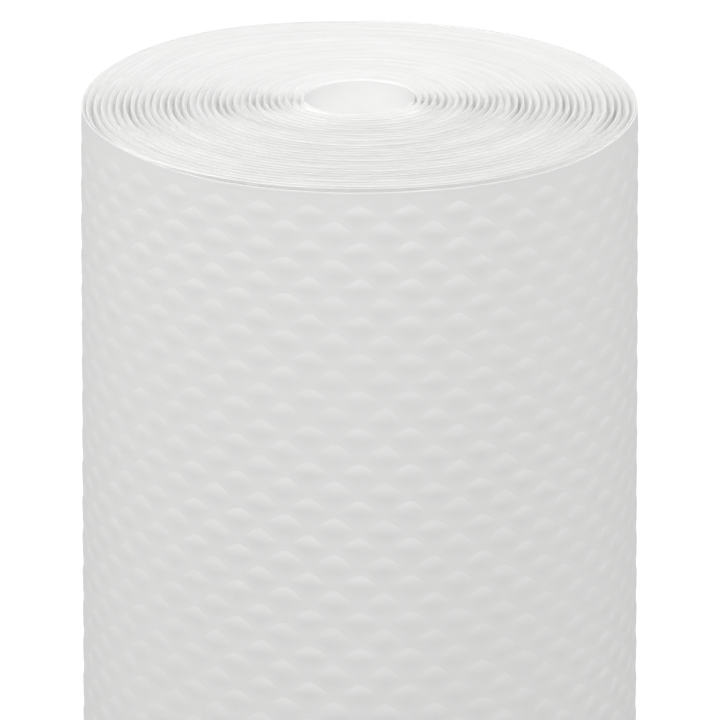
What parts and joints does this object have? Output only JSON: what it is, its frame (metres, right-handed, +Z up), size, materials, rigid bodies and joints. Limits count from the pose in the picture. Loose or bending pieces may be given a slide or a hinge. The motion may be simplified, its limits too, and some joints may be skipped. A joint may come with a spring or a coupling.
{
  "type": "paper tablecloth roll",
  "caption": "Roll of white embossed paper tablecloth wound without a core, with an open round hole along its axis and spiral gaps between the turns at both ends.",
  "frame": {"origin": "centre of the lower end face, on the roll's axis", "axes": "+Z up along the roll's axis, -Y towards the front that the picture shows, +Y towards the back where the sheet's free end lies, +X to the right seen from the front"},
  "size_m": [0.1114, 0.1118, 1],
  "materials": {
    "paper": "matte white tissue paper, embossed with small raised diamonds"
  },
  "bodies": {
    "root": {"paper_roll": "paper"}
  },
  "joints": []
}
